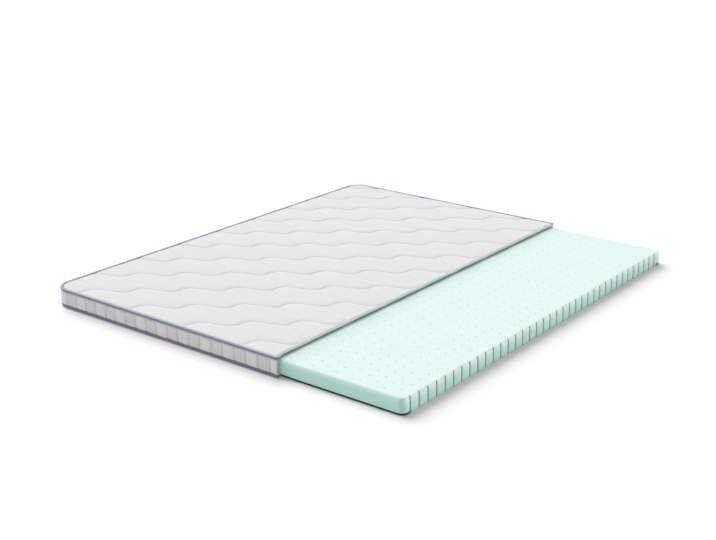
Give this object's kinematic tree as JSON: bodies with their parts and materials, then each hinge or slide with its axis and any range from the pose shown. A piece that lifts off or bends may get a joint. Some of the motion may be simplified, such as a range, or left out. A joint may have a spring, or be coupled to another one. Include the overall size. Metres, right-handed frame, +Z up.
{
  "type": "mattress topper with its quilted cover cut open over the foam core",
  "caption": "Flat foam mattress topper in a quilted cover with a ribbed border and piping, cut away along one long side to show the slotted foam.",
  "frame": {"origin": "on the floor, under the middle of the whole topper", "axes": "+Z up; X along the two-metre side; Y from the bare foam edge to the covered back edge"},
  "size_m": [2, 1.78, 0.08],
  "materials": {
    "foam": "mint green open-cell foam, matte, fine pores",
    "quilted_cloth": "white knitted cloth quilted in an onion-shaped pattern of stitched lines, matte",
    "base_cloth": "plain white woven cloth, matte",
    "border_cloth": "off-white padded knitted cloth sewn into upright ribs, matte",
    "piping": "slate blue twill round a cord, slight sheen"
  },
  "bodies": {
    "root": {"foam_core": "foam", "top_panel": "quilted_cloth", "bottom_panel": "base_cloth", "border": "border_cloth", "top_piping": "piping", "bottom_piping": "piping"}
  },
  "joints": []
}
